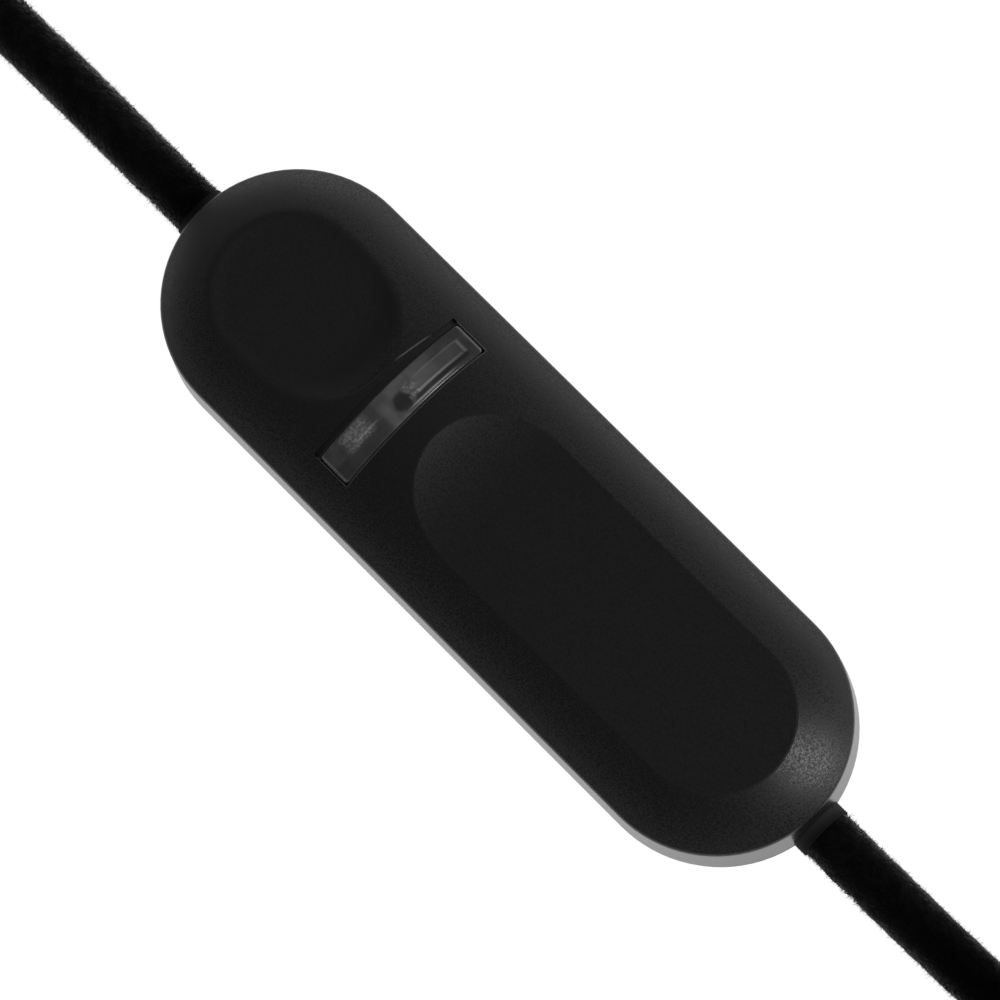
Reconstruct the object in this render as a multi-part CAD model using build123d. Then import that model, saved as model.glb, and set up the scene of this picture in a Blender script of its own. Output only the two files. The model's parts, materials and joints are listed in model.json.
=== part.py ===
from build123d import *
import math
import os

# An inline touch dimmer on a textile lamp cord, in millimetres. X runs along the casing to the plug, Z is up.

# Casing
LENGTH = 102.0
WIDTH = 32.0
HEIGHT = 18.8
PARTING_Z = 6.0
CREASE_Z = 12.5
CREASE_R = 0.8
SKIRT_DRAFT = 2.5
WALL = 2.0

# Touch areas and the ridge between them
DISH_DEPTH = 2.3
DISH_LIP = 0.2675
DISH_SCOOP_R = 6.0
LONG_DEPTH = 2.05
RAMP_R = 30.0
DISH_CREST_R = 0.6
RIDGE_FROM_END = 18.6
RIDGE_BACK = 3.7
RIDGE_AHEAD = 6.0

# Light guide in the ridge
GUIDE_W = 4.4
GUIDE_L = 22.0
GUIDE_CORNER = 0.5
GUIDE_EDGE = 0.25
GUIDE_CLEAR = 0.25
GUIDE_LEDGE_W = 0.6
GUIDE_LEDGE_DEPTH = 0.5
GUIDE_FLANGE_T = 1.0
GUIDE_FLANGE_EDGE = 1.6
GUIDE_FLANGE_L = 16.0
GUIDE_POCKET_W = 1.8
GUIDE_POCKET_START = 2.0
GUIDE_POCKET_END = 9.5
GUIDE_SKIN = 1.6
LED_WELL_R = 1.6
LED_WELL_DEPTH = 2.4

# Base shell
BASE_INSET = 0.3
BASE_FLOOR = 2.0
BASE_EDGE_R = 4.0
LIP_H = 1.6
LIP_T = 1.0
LIP_CLEAR = 0.15

# Cover screws
SCREW_END_GAP = 9.0
SCREW_R = 1.25
SCREW_HEAD_R = 2.2
SCREW_HEAD_T = 1.6
SCREW_CLEAR = 0.2
SCREW_SINK = 0.6
SCREW_LENGTH = 9.0
BOSS_R = 2.6
POST_R = 3.2
POST_TOP_Z = 5.0
SLOT_W = 0.6
SLOT_DEPTH = 0.7

# Power board
BOARD_Z = 4.2
BOARD_T = 1.6
BOARD_GAP = 1.0
BOARD_END_GAP = 4.0
BOARD_CORNER = 2.0
NOTCH_CLEAR = 0.4
BOARD_POST_R = 2.2
BOARD_POST_FROM_SCREW = 7.5
BOARD_POST_IN = 2.6
BOARD_SCREW_R = 1.0
BOARD_SCREW_HEAD_R = 1.8
BOARD_SCREW_HEAD_T = 1.2

# Sensor boards
TOUCH_T = 1.0
TOUCH_EDGE_GAP = 0.2
TOUCH_GAP = 0.4
TOUCH_FROM_CREST = 5.1
CONTACT_R = 0.9
CONTACT_TIP_R = 0.5
CONTACT_TIP_L = 2.8
CONTACT_PITCH = 3.5
TOUCH_CHIP = (4.0, 4.0, 0.9)

# Indicator
RISER_T = 1.0
RISER_W = 8.0
LED_BODY = (2.0, 3.0, 1.2)
LED_LENS_R = 1.0

# Terminals
TERMINAL_L = 7.5
TERMINAL_W = 10.4
TERMINAL_HEADROOM = 1.2
TERMINAL_END_GAP = 1.0
TERMINAL_PITCH = 5.08
TERMINAL_BORE_R = 1.2
TERMINAL_BORE_L = 5.6
TERMINAL_ENTRY_H = 2.8
TERMINAL_SCREW_R = 1.4
TERMINAL_SCREW_CLEAR = 0.2
TERMINAL_SCREW_SUNK = 0.8

# Parts on the power board, in rows with a gap between them
PART_GAP = 0.8
PART_EDGE_GAP = 1.4
FILM_CAP_L = 13.0
FILM_CAP_W = 5.0
FILM_CAP_HEADROOM = 0.8
FILM_CAP_EDGE = 0.6
CAN_R = 2.5
CAN_L = 11.0
CAN_EDGE = 0.4
CAN_GROOVE = 0.35
CAN_GROOVE_X = 2.0
CHOKE_R = 4.5
CHOKE_HEADROOM = 1.5
CHOKE_NECK_R = 2.2
CHOKE_FLANGE_T = 1.0
CHOKE_WIRE_R = 4.0
TRANSISTOR = (6.6, 6.1, 2.3)
TRANSISTOR_PITCH = 7.5
SPREADER_T = 1.2
SPREADER_FIN_H = 3.4
FUSE_R = 1.3
FUSE_CAP_R = 1.5
FUSE_L = 9.0
FUSE_CAP_L = 2.0
CHIP_SIDE = 3.0
CHIP_T = 1.0
CHIP_LEG_L = 1.0
CHIP_LEG_W = 0.3
CHIP_LEG_T = 0.2
CHIP_LEG_PITCH = 0.65
CHIP_LEGS = 4
RESISTOR = (1.25, 2.0, 0.55)
RESISTOR_PITCH = 2.6
LAMP_RESISTORS = 4
MAINS_RESISTORS = 2
MAINS_RESISTOR_Y = 3.0

# Cord and its grips
CORD_D = 6.4
CORD_FIT = 0.1
SLEEVE_T = 0.25
SLEEVE_OUT = 1.25
SLEEVE_IN = 2.6
SHEATH_END_GAP = 2.0
CORE_R = 0.95
CORE_APART = 2.8
CORE_BEND = 2.2
CORE_END_GAP = 3.5
CLAMP_FROM_END = 6.5
CLAMP_W = 5.0
CLAMP_T = 1.6
CLAMP_GAP = 0.8
CLAMP_SIDE = 2.2
CLAMP_EDGE = 1.1
CLAMP_WEB = 1.55
CLAMP_POST_R = 2.2

# Spare cord, folded into a tied hank at each side
FOLD_R = 19.2
BUNDLE_R = 2.8
TIE_T = 0.5
TIE_W = 8.0
MAINS_HANK_X = 85.2
MAINS_RUN = 96.0
MAINS_LAYERS = 4
MAINS_TIE_X = 50.0
LAMP_HANK_X = 86.2
LAMP_RUN = 76.0
LAMP_LAYERS = 1
LAMP_TOP_RUN = 50.0
LAMP_TIE_X = 30.0
LAMP_TAIL_L = 14.0
FERRULE_R = 0.85
FERRULE_COLLAR_R = 1.35
FERRULE_L = 8.0
FERRULE_COLLAR_L = 5.0

# Plug
PLUG_W = 35.3
PLUG_H = 13.7
PLUG_BODY_L = 14.0
PLUG_TAPER_L = 9.0
PLUG_NECK_L = 12.0
PLUG_REAR_W = 16.0
PLUG_REAR_H = 11.0
PLUG_NECK_R = 4.8
PLUG_NECK_END_R = 4.0
PLUG_RIBS = 3
PLUG_RIB_DEPTH = 0.6
PLUG_FACE_R = 1.2
PLUG_FIT = 0.03
PLUG_X = 168.6
PIN_R = 2.0
PIN_L = 19.0
PIN_PITCH = 18.6
PIN_SEAT = 6.0
PIN_SEAT_R = 1.5
PIN_TIP_R = 1.4

# How closely an edge's place is told when edges are picked, and the share of a run that a bend may take
EDGE_TOL = 0.02
BEND_SHARE = 0.45

# Worked out from the sizes above
END_X = (LENGTH - WIDTH) / 2
RIDGE_X = RIDGE_FROM_END - END_X
SCREW_X = END_X - SCREW_END_GAP
CLAMP_X = END_X + CLAMP_FROM_END
CREASE_HALF = WIDTH / 2 - (CREASE_Z - PARTING_Z) * math.tan(math.radians(SKIRT_DRAFT))
DOME_RISE = HEIGHT - CREASE_Z
DOME_R = (CREASE_HALF**2 + DOME_RISE**2) / (2 * DOME_RISE)
DOME_Z = HEIGHT - DOME_R
INNER_R = DOME_R - WALL
INNER_HALF = CREASE_HALF - WALL
DISH_Z = HEIGHT - DISH_DEPTH
DISH_HALF = math.sqrt(DOME_R**2 - (DISH_Z + DISH_LIP - DOME_Z) ** 2)
DISH_FLOOR = DISH_HALF - math.sqrt(DISH_LIP * (2 * DISH_SCOOP_R - DISH_LIP))
CREST_REACH = DISH_FLOOR + math.sqrt(DISH_DEPTH * (2 * DISH_SCOOP_R - DISH_DEPTH))
ROUND_DISH_X = RIDGE_X - RIDGE_BACK - CREST_REACH
RAMP_X = RIDGE_X + RIDGE_AHEAD + math.sqrt(LONG_DEPTH * (2 * RAMP_R - LONG_DEPTH))
CEILING_Z = DISH_Z - WALL
CEILING_HALF = math.sqrt(INNER_R**2 - (CEILING_Z - DOME_Z) ** 2)
LIP_OUT = INNER_HALF - LIP_CLEAR
LIP_IN = LIP_OUT - LIP_T
POST_ROOT = BASE_FLOOR / 2
SCREW_Y = LIP_IN - BOSS_R - SCREW_CLEAR
SCREW_PLACES = [(x, y) for x in (-SCREW_X, SCREW_X) for y in (-SCREW_Y, SCREW_Y)]
BOARD_TOP = BOARD_Z + BOARD_T
BOARD_HALF_L = END_X - BOARD_END_GAP
BOARD_HALF_W = LIP_IN - BOARD_GAP
BOARD_POST_X = SCREW_X - BOARD_POST_FROM_SCREW
BOARD_POST_Y = BOARD_HALF_W - BOARD_POST_IN
BOARD_POSTS = [(x, y) for x in (-BOARD_POST_X, BOARD_POST_X) for y in (-BOARD_POST_Y, BOARD_POST_Y)]
BOARD_SCREWS = [BOARD_POSTS[0], BOARD_POSTS[3]]
TOUCH_Z = CEILING_Z - TOUCH_T
ROUND_TOUCH_R = CEILING_HALF - TOUCH_EDGE_GAP
LONG_TOUCH_HALF = SCREW_Y - BOSS_R - TOUCH_GAP
LONG_TOUCH_START = RIDGE_X + RIDGE_AHEAD + TOUCH_FROM_CREST + LONG_TOUCH_HALF
LED_Z = TOUCH_Z - LED_LENS_R - LED_BODY[2]
ROOM_H = TOUCH_Z - BOARD_TOP
CORD_R = CORD_D / 2
CORD_Z = PARTING_Z
SLEEVE_R = CORD_R + SLEEVE_T
SHEATH_END = END_X + SHEATH_END_GAP
CLAMP_SCREW_Y = CORD_R + SCREW_R + CLAMP_WEB
CLAMP_HALF = CLAMP_SCREW_Y + CLAMP_SIDE
CLAMP_LOW = CORD_Z + CLAMP_GAP / 2
CLAMP_TOP = CORD_Z + CORD_R + CLAMP_T
TERMINAL_FACE = BOARD_HALF_L - TERMINAL_END_GAP
TERMINAL_X = TERMINAL_FACE - TERMINAL_L / 2
TERMINAL_H = ROOM_H - TERMINAL_HEADROOM
ROW_END = TERMINAL_FACE - TERMINAL_L - PART_GAP
FILM_CAP_X = BOARD_SCREW_HEAD_R + PART_GAP + FILM_CAP_L / 2 - BOARD_POST_X
TRANSISTOR_X = FILM_CAP_X + FILM_CAP_L / 2 + PART_GAP + TRANSISTOR[0] / 2
CHOKE_H = ROOM_H - CHOKE_HEADROOM
CHOKE_X = RIDGE_X + RISER_T / 2 + PART_GAP + CHOKE_R
CAN_X = CHOKE_X + CHOKE_R + PART_GAP
FUSE_X = ROW_END - FUSE_L
TOUCH_CHIP_X = FUSE_X + FUSE_L / 2
CONTACT_X = FUSE_X - PART_GAP - CONTACT_R
CHIP_X = CONTACT_X - CONTACT_PITCH - CONTACT_R - PART_GAP - CHIP_SIDE / 2 - CHIP_LEG_L
ROW_Y = BOARD_HALF_W - PART_EDGE_GAP
ENTRY_Z = BOARD_TOP + TERMINAL_ENTRY_H
BUNDLE_OUT = FOLD_R + CORD_R
MAINS_NEAR_X = MAINS_HANK_X + BUNDLE_OUT
LAMP_NEAR_X = LAMP_HANK_X + BUNDLE_OUT
MAINS_TOP = TIE_T + MAINS_LAYERS * CORD_D
CRADLE_Y = FOLD_R - CORD_R + BUNDLE_R - (PLUG_W - PLUG_H) / 2
PLUG_BACK = PLUG_X + PLUG_NECK_L
PLUG_FRONT = PLUG_BACK + PLUG_TAPER_L + PLUG_BODY_L
CRADLE_REACH = PLUG_H / 2 + BUNDLE_R + PLUG_FIT
PLUG_Z = MAINS_TOP - BUNDLE_R + math.sqrt(CRADLE_REACH**2 - CRADLE_Y**2)
TAIL_Z = MAINS_TOP + CORD_R

# The cord's stretches that aren't coiled, as the corner points of their routes
MAINS_ROUTE = [(SHEATH_END, 0, CORD_Z), (60.0, 0, CORD_Z), (75.0, 0.4, 3.7), (87.0, 1.0, 4.0)]
LAMP_ROUTE = [(-SHEATH_END, 0, CORD_Z), (-60.0, 0, CORD_Z), (-75.0, 0.2, 3.7), (-88.0, 0, 4.0)]
TAIL_START = [(MAINS_NEAR_X, -FOLD_R, TAIL_Z), (120.4, -18.0, TAIL_Z), (132.4, -13.2, 29.1)]
TAIL_ROUTE = TAIL_START + [(143.0, -5.4, 28.9), (155.4, -0.5, 28.8), (PLUG_X, 0, PLUG_Z)]


def revolved(points, at):
    """A turned solid about the upright axis at a place, from (radius, height) corners."""
    outline = make_face(Polyline(*points, close=True))
    return Pos(*at) * revolve(Plane.XZ * outline, Axis.Z, 360)


def upright(places, radius, low, high):
    """Round posts or holes between two heights."""
    return Part() + [Pos(x, y, low) * extrude(Circle(radius), high - low) for x, y in places]


def block(size, at):
    """A box on its underside's middle."""
    return Pos(*at) * extrude(Rectangle(size[0], size[1]), size[2])


def racetrack(half, start=-END_X, end=END_X):
    """A pill-shaped solid from a half-section of radius and height: turned ends and straight sides."""
    turned = Plane.XZ * half
    left = Pos(start, 0, 0) * revolve(Rot(0, 0, 90) * turned, Axis.Z, 180)
    right = Pos(end, 0, 0) * revolve(Rot(0, 0, -90) * turned, Axis.Z, 180)
    straight = Pos((start + end) / 2, 0, 0) * extrude(Rot(0, 0, 90) * turned, (end - start) / 2, both=True)
    return left + right + straight + mirror(straight, Plane.XZ)


def dome_arc(radius, from_r, to_r):
    """An arc of the crown about its own centre, between two distances from the middle."""
    angles = [math.degrees(math.acos(r / radius)) for r in (from_r, to_r)]
    return CenterArc((0, DOME_Z), radius, angles[0], angles[1] - angles[0])


def outer_half():
    """Half of the upper shell's outside, filled to the middle: drafted skirt, soft crease and crown."""
    crown = dome_arc(DOME_R, CREASE_HALF, 0)
    corners = [crown @ 1, (0, PARTING_Z), (WIDTH / 2, PARTING_Z), crown @ 0]
    outline = make_face([crown, Polyline(*corners)])
    crease = outline.vertices().sort_by_distance((CREASE_HALF, CREASE_Z))[0]
    return fillet(crease, CREASE_R)


def inner_half():
    """Half of the hollow under the upper shell, flat under the touch areas."""
    crown = dome_arc(INNER_R, INNER_HALF, CEILING_HALF)
    corners = [crown @ 1, (0, CEILING_Z), (0, 0), (INNER_HALF, 0), crown @ 0]
    return make_face([crown, Polyline(*corners)])


def round_dish_cut():
    """What the mould takes off the crown for the round touch area: a flat, scooped up to its rim."""
    scoop = CenterArc((DISH_FLOOR, DISH_Z + DISH_SCOOP_R), DISH_SCOOP_R, 270, 90)
    corners = [scoop @ 1, (0, DISH_Z + DISH_SCOOP_R), (0, DISH_Z), scoop @ 0]
    return racetrack(make_face([scoop, Polyline(*corners)]), -END_X, ROUND_DISH_X)


def long_dish_cut():
    """What the mould takes off the crown for the long touch area: a flat that sweeps up to the ridge."""
    low = HEIGHT - LONG_DEPTH
    sweep = CenterArc((RAMP_X, low + RAMP_R), RAMP_R, 180, 90)
    corners = [sweep @ 1, (LENGTH, low), (LENGTH, low + RAMP_R), sweep @ 0]
    return extrude(Plane.XZ * make_face([sweep, Polyline(*corners)]), WIDTH, both=True)


def cord_hole():
    """A round way along X through both ends of the casing, at the parting line."""
    return Pos(0, 0, CORD_Z) * Rot(0, 90, 0) * Cylinder(SLEEVE_R + CORD_FIT, 2 * LENGTH)


def guide_slot(crown):
    """The ridge's slot: the guide's outline with clearance, and a shallow ledge on the round area's side."""
    across = GUIDE_W + 2 * GUIDE_CLEAR
    along = GUIDE_L + 2 * GUIDE_CLEAR
    ledge_x = RIDGE_X - across / 2 - GUIDE_LEDGE_W / 2
    ledge = block((GUIDE_LEDGE_W, along, HEIGHT), (ledge_x, 0, CEILING_Z))
    ledge -= Pos(0, 0, -GUIDE_LEDGE_DEPTH) * crown
    return block((across, along, HEIGHT), (RIDGE_X, 0, CEILING_Z - WALL)) + ledge


def make_top_cover():
    crown = racetrack(outer_half())
    shell = crown - round_dish_cut() - long_dish_cut()
    boxes = [(edge, edge.bounding_box()) for edge in shell.edges()]
    low, high = DISH_Z + EDGE_TOL, HEIGHT - EDGE_TOL
    rims = [edge for edge, box in boxes if low < box.min.Z < high and box.size.X > EDGE_TOL]
    filled = fillet(rims, DISH_CREST_R)
    shell = filled - racetrack(inner_half())
    shell += upright(SCREW_PLACES, BOSS_R, POST_TOP_Z, HEIGHT) & filled
    shell -= upright(SCREW_PLACES, SCREW_R, 0, SCREW_SINK + SCREW_HEAD_T + SCREW_LENGTH)
    return shell - cord_hole() - guide_slot(crown)


def make_base_cover():
    side = WIDTH / 2 - BASE_INSET
    inner_edge = BASE_EDGE_R - BASE_FLOOR
    low = CenterArc((side - BASE_EDGE_R, BASE_EDGE_R), BASE_EDGE_R, 270, 90)
    inside = CenterArc((LIP_IN - inner_edge, BASE_EDGE_R), inner_edge, 270, 90)
    step = [low @ 1, (side, PARTING_Z), (LIP_OUT, PARTING_Z), (LIP_OUT, PARTING_Z + LIP_H)]
    rise = Polyline(*step, (LIP_IN, PARTING_Z + LIP_H), inside @ 1)
    under = Polyline(inside @ 0, (0, BASE_FLOOR), (0, 0), low @ 0)
    shell = racetrack(make_face([low, rise, inside, under]))
    shell += upright(SCREW_PLACES, POST_R, POST_ROOT, POST_TOP_Z)
    shell += upright(BOARD_POSTS, BOARD_POST_R, POST_ROOT, BOARD_Z)
    for end in (-CLAMP_X, CLAMP_X):
        saddle_h = CORD_Z - CLAMP_GAP / 2 - POST_ROOT
        shell += block((CLAMP_W, 2 * CLAMP_SCREW_Y, saddle_h), (end, 0, POST_ROOT))
        posts = [(end, -CLAMP_SCREW_Y), (end, CLAMP_SCREW_Y)]
        shell += upright(posts, CLAMP_POST_R, POST_ROOT, CORD_Z - CLAMP_GAP / 2)
        shell -= upright(posts, SCREW_R, BASE_FLOOR, CORD_Z)
        shell -= Pos(end, 0, CORD_Z) * Rot(0, 90, 0) * Cylinder(CORD_R, CLAMP_W)
    shell -= upright(SCREW_PLACES, SCREW_R + SCREW_CLEAR, 0, POST_TOP_Z)
    shell -= upright(SCREW_PLACES, SCREW_HEAD_R + SCREW_CLEAR, 0, SCREW_SINK + SCREW_HEAD_T)
    shell -= upright(BOARD_SCREWS, BOARD_SCREW_R, BASE_FLOOR, BOARD_Z)
    walls = cord_hole() - Box(2 * (END_X + LIP_IN - CORD_R), WIDTH, HEIGHT * 2)
    return shell - walls


def make_light_guide():
    """The clear bar: its crown runs on from the casing's, and its flange lies under the ridge."""
    plan = RectangleRounded(GUIDE_W, GUIDE_L, GUIDE_CORNER)
    crown = racetrack(outer_half())
    bar = Pos(RIDGE_X, 0, TOUCH_Z) * extrude(plan, HEIGHT - TOUCH_Z) & crown
    rim = bar.faces().sort_by(Axis.Z)[-1].edges()
    bar = fillet(rim, GUIDE_EDGE)
    flange_w = GUIDE_W + 2 * GUIDE_FLANGE_EDGE
    bar += block((flange_w, GUIDE_FLANGE_L, GUIDE_FLANGE_T), (RIDGE_X, 0, CEILING_Z - GUIDE_FLANGE_T))
    pocket_l = GUIDE_POCKET_END - GUIDE_POCKET_START
    pocket_y = (GUIDE_POCKET_END + GUIDE_POCKET_START) / 2
    pocket_top = DOME_Z + math.sqrt(DOME_R**2 - GUIDE_POCKET_END**2) - GUIDE_SKIN
    bar -= block((GUIDE_POCKET_W, pocket_l, pocket_top - TOUCH_Z), (RIDGE_X, pocket_y, TOUCH_Z))
    return bar - upright([(RIDGE_X, 0)], LED_WELL_R, TOUCH_Z, TOUCH_Z + LED_WELL_DEPTH)


def screw(radius, head_r, head_t, length):
    """A pan-head screw with its head's flat at Z = 0 and its shank up, slotted."""
    tip = head_t + length
    corners = [(0, 0), (head_r, 0), (head_r, head_t), (radius, head_t), (radius, tip), (0, tip)]
    return revolved(corners, (0, 0, 0)) - block((2 * head_r, SLOT_W, SLOT_DEPTH), (0, 0, 0))


def make_cover_screws():
    one = screw(SCREW_R, SCREW_HEAD_R, SCREW_HEAD_T, SCREW_LENGTH)
    return [Pos(x, y, SCREW_SINK) * one for x, y in SCREW_PLACES]


def make_power_board():
    plan = RectangleRounded(2 * BOARD_HALF_L, 2 * BOARD_HALF_W, BOARD_CORNER)
    board = Pos(0, 0, BOARD_Z) * extrude(plan, BOARD_T)
    board -= upright(SCREW_PLACES, POST_R + NOTCH_CLEAR, 0, HEIGHT)
    return board - upright(BOARD_SCREWS, BOARD_SCREW_R, 0, HEIGHT)


def make_board_screws():
    shank = BOARD_TOP - BASE_FLOOR
    one = Rot(180, 0, 0) * screw(BOARD_SCREW_R, BOARD_SCREW_HEAD_R, BOARD_SCREW_HEAD_T, shank)
    return [Pos(x, y, BOARD_TOP + BOARD_SCREW_HEAD_T) * one for x, y in BOARD_SCREWS]


def make_round_touch_board():
    return upright([(-END_X, 0)], ROUND_TOUCH_R, TOUCH_Z, CEILING_Z)


def make_long_touch_board():
    reach = END_X - LONG_TOUCH_START
    plan = SlotCenterToCenter(reach, 2 * LONG_TOUCH_HALF)
    return Pos((END_X + LONG_TOUCH_START) / 2, 0, TOUCH_Z) * extrude(plan, TOUCH_T)


def make_touch_contacts():
    round_x = BOARD_HALF_L - CONTACT_R
    round_y = TERMINAL_W / 2 + CONTACT_R + TOUCH_EDGE_GAP
    places = [(-round_x, -round_y), (-round_x, round_y), (CONTACT_X, 0), (CONTACT_X - CONTACT_PITCH, 0)]
    high = TOUCH_Z - BOARD_TOP
    step = high - CONTACT_TIP_L
    barrel = [(0, 0), (CONTACT_R, 0), (CONTACT_R, step), (CONTACT_TIP_R, step)]
    return [revolved(barrel + [(CONTACT_TIP_R, high), (0, high)], (x, y, BOARD_TOP)) for x, y in places]


def make_touch_controller():
    return block(TOUCH_CHIP, (TOUCH_CHIP_X, 0, TOUCH_Z - TOUCH_CHIP[2]))


def make_led_riser():
    return block((RISER_T, RISER_W, LED_Z - BOARD_TOP), (RIDGE_X, 0, BOARD_TOP))


def make_indicator_led():
    body = block(LED_BODY, (RIDGE_X, 0, LED_Z))
    sides = Polyline((LED_LENS_R, 0), (0, 0), (0, LED_LENS_R))
    quarter = make_face([CenterArc((0, 0), LED_LENS_R, 0, 90), sides])
    lens = revolve(Plane.XZ * quarter, Axis.Z, 360)
    return body + Pos(RIDGE_X, 0, LED_Z + LED_BODY[2]) * lens


def make_terminal(side):
    """A two-pole screw terminal: wire bores in its outer face, screw wells in its top."""
    x = side * TERMINAL_X
    body = block((TERMINAL_L, TERMINAL_W, TERMINAL_H), (x, 0, BOARD_TOP))
    wells = [(x, y) for y in (-TERMINAL_PITCH / 2, TERMINAL_PITCH / 2)]
    body -= upright(wells, TERMINAL_SCREW_R + TERMINAL_SCREW_CLEAR, ENTRY_Z, HEIGHT)
    for _, y in wells:
        bore = Rot(0, 90, 0) * Cylinder(TERMINAL_BORE_R, TERMINAL_BORE_L)
        body -= Pos(side * (TERMINAL_FACE - TERMINAL_BORE_L / 2), y, ENTRY_Z) * bore
    return body


def make_terminal_screws():
    low = ENTRY_Z + CORE_R
    high = BOARD_TOP + TERMINAL_H - TERMINAL_SCREW_SUNK
    screws = []
    for x in (-TERMINAL_X, TERMINAL_X):
        for y in (-TERMINAL_PITCH / 2, TERMINAL_PITCH / 2):
            one = upright([(x, y)], TERMINAL_SCREW_R, low, high)
            screws.append(one - block((2 * TERMINAL_SCREW_R, SLOT_W, SLOT_DEPTH), (x, y, high - SLOT_DEPTH)))
    return screws


def make_film_capacitor():
    size = (FILM_CAP_L, FILM_CAP_W, ROOM_H - FILM_CAP_HEADROOM)
    body = block(size, (FILM_CAP_X, FILM_CAP_W / 2 - ROW_Y, BOARD_TOP))
    return fillet(body.edges().filter_by(Axis.Z) + body.faces().sort_by(Axis.Z)[-1].edges(), FILM_CAP_EDGE)


def make_reservoir_capacitor():
    """A small can lying on the board, rolled in near its sealed end."""
    neck, edge_r = CAN_R - CAN_GROOVE, CAN_R - CAN_EDGE
    low, high = CAN_GROOVE_X - CAN_GROOVE, CAN_GROOVE_X + CAN_GROOVE
    sealed = [(0, 0), (edge_r, 0), (CAN_R, CAN_EDGE), (CAN_R, low), (neck, CAN_GROOVE_X), (CAN_R, high)]
    can = revolved(sealed + [(CAN_R, CAN_L - CAN_EDGE), (edge_r, CAN_L), (0, CAN_L)], (0, 0, 0))
    return Pos(CAN_X, ROW_Y - CAN_R, BOARD_TOP + CAN_R) * Rot(0, 90, 0) * can


def make_choke(winding):
    """The ferrite spool, or the copper wound between its flanges."""
    low, high = CHOKE_FLANGE_T, CHOKE_H - CHOKE_FLANGE_T
    if winding:
        corners = [(CHOKE_NECK_R, low), (CHOKE_WIRE_R, low), (CHOKE_WIRE_R, high), (CHOKE_NECK_R, high)]
    else:
        neck = [(CHOKE_R, low), (CHOKE_NECK_R, low), (CHOKE_NECK_R, high), (CHOKE_R, high)]
        corners = [(0, 0), (CHOKE_R, 0), *neck, (CHOKE_R, CHOKE_H), (0, CHOKE_H)]
    return revolved(corners, (CHOKE_X, ROW_Y - CHOKE_R, BOARD_TOP))


def transistor_places():
    y = TRANSISTOR[1] / 2 - ROW_Y
    return [(TRANSISTOR_X, y), (TRANSISTOR_X + TRANSISTOR_PITCH, y)]


def make_power_transistors():
    return [block(TRANSISTOR, (x, y, BOARD_TOP)) for x, y in transistor_places()]


def make_heat_spreader():
    """A bent channel of sheet on the two transistors, its fins turned up."""
    first, last = transistor_places()
    wide = TRANSISTOR[1]
    long = last[0] - first[0] + TRANSISTOR[0]
    low = BOARD_TOP + TRANSISTOR[2]
    at = ((first[0] + last[0]) / 2, first[1], low)
    channel = block((long, wide, SPREADER_FIN_H), at)
    return channel - block((long, wide - 2 * SPREADER_T, SPREADER_FIN_H), (*at[:2], low + SPREADER_T))


def fuse_piece(radius, start, length, bore):
    """A round length of the fuse lying along X on the board."""
    ring = Circle(radius) - Circle(bore) if bore else Circle(radius)
    return Pos(FUSE_X + start, 0, BOARD_TOP + FUSE_CAP_R) * extrude(Plane.YZ * ring, length)


def make_fuse_caps():
    return [fuse_piece(FUSE_CAP_R, start, FUSE_CAP_L, FUSE_R) for start in (0, FUSE_L - FUSE_CAP_L)]


def make_controller_chip():
    """A small chip: its legs come out at half height and stand flat on the board."""
    body = block((CHIP_SIDE, CHIP_SIDE, CHIP_T - CHIP_LEG_T), (CHIP_X, 0, BOARD_TOP + CHIP_LEG_T))
    for i in range(CHIP_LEGS):
        for side in (-1, 1):
            x = CHIP_X + side * CHIP_SIDE / 2
            y = (i - (CHIP_LEGS - 1) / 2) * CHIP_LEG_PITCH
            body += block((2 * CHIP_LEG_L, CHIP_LEG_W, CHIP_LEG_T), (x, y, BOARD_TOP))
            body += block((CHIP_LEG_T, CHIP_LEG_W, CHIP_T / 2), (x + side * CHIP_LEG_T / 2, y, BOARD_TOP))
    return body


def make_chip_resistors():
    x = ROW_END - RESISTOR[0] / 2
    lamp_y = -(LAMP_RESISTORS - 1) / 2 * RESISTOR_PITCH
    places = [(-x, lamp_y + i * RESISTOR_PITCH) for i in range(LAMP_RESISTORS)]
    places += [(x, MAINS_RESISTOR_Y + i * RESISTOR_PITCH) for i in range(MAINS_RESISTORS)]
    return [block(RESISTOR, (x, y, BOARD_TOP)) for x, y in places]


def make_clamp(side):
    """The bridge that presses the cord into its saddle."""
    x = side * CLAMP_X
    bridge = block((CLAMP_W, 2 * CLAMP_HALF, CLAMP_TOP - CLAMP_LOW), (x, 0, CLAMP_LOW))
    bridge = fillet(bridge.edges().filter_by(Axis.X).sort_by(Axis.Z)[-2:], CLAMP_EDGE)
    bridge -= Pos(x, 0, CORD_Z) * Rot(0, 90, 0) * Cylinder(CORD_R, CLAMP_W)
    screws = [(x, -CLAMP_SCREW_Y), (x, CLAMP_SCREW_Y)]
    bridge -= upright(screws, BOARD_SCREW_HEAD_R + SCREW_CLEAR, CLAMP_TOP - BOARD_SCREW_HEAD_T, HEIGHT)
    return bridge - upright(screws, SCREW_R, 0, HEIGHT)


def make_clamp_screws():
    shank = CLAMP_TOP - BOARD_SCREW_HEAD_T - BASE_FLOOR
    one = Rot(180, 0, 0) * screw(SCREW_R, BOARD_SCREW_HEAD_R, BOARD_SCREW_HEAD_T, shank)
    places = [(x, y) for x in (-CLAMP_X, CLAMP_X) for y in (-CLAMP_SCREW_Y, CLAMP_SCREW_Y)]
    return [Pos(x, y, CLAMP_TOP) * one for x, y in places]


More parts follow.
